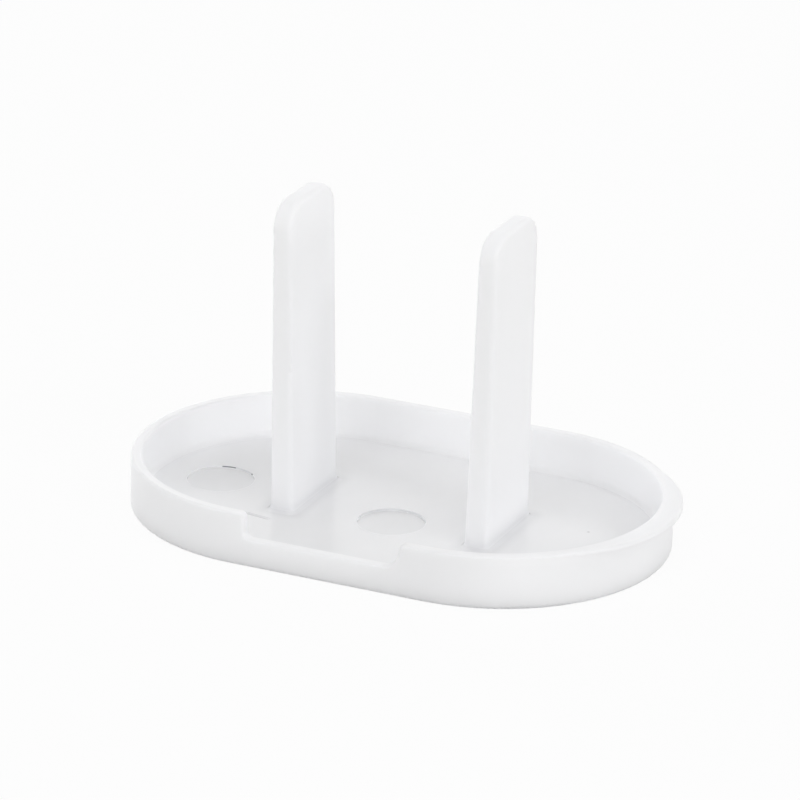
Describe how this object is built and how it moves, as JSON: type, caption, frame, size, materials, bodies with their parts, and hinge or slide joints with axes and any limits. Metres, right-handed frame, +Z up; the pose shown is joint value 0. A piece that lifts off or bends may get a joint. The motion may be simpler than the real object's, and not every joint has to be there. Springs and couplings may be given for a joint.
{
  "type": "outlet safety cover",
  "caption": "Shallow moulded plastic cap with straight sides and half-round ends, a thin rim with a notch and a finger lip, and flat parallel blades that plug into the slots of a wall socket",
  "frame": {"origin": "midway between the blades, on the cap's flat underside, which it stands on with the open side up", "axes": "+Z up along the blades, out of the cap's open side; +X along the cap's length, across the gap from blade to blade, towards the finger lip; +Y across the cap, away from the rim notch"},
  "size_m": [0.0343, 0.0212, 0.0199],
  "materials": {
    "cover_plastic": "milky white injection-moulded plastic, satin to softly glossy, with a faint flow texture"
  },
  "bodies": {
    "root": {"outlet_cover": "cover_plastic"}
  },
  "joints": []
}
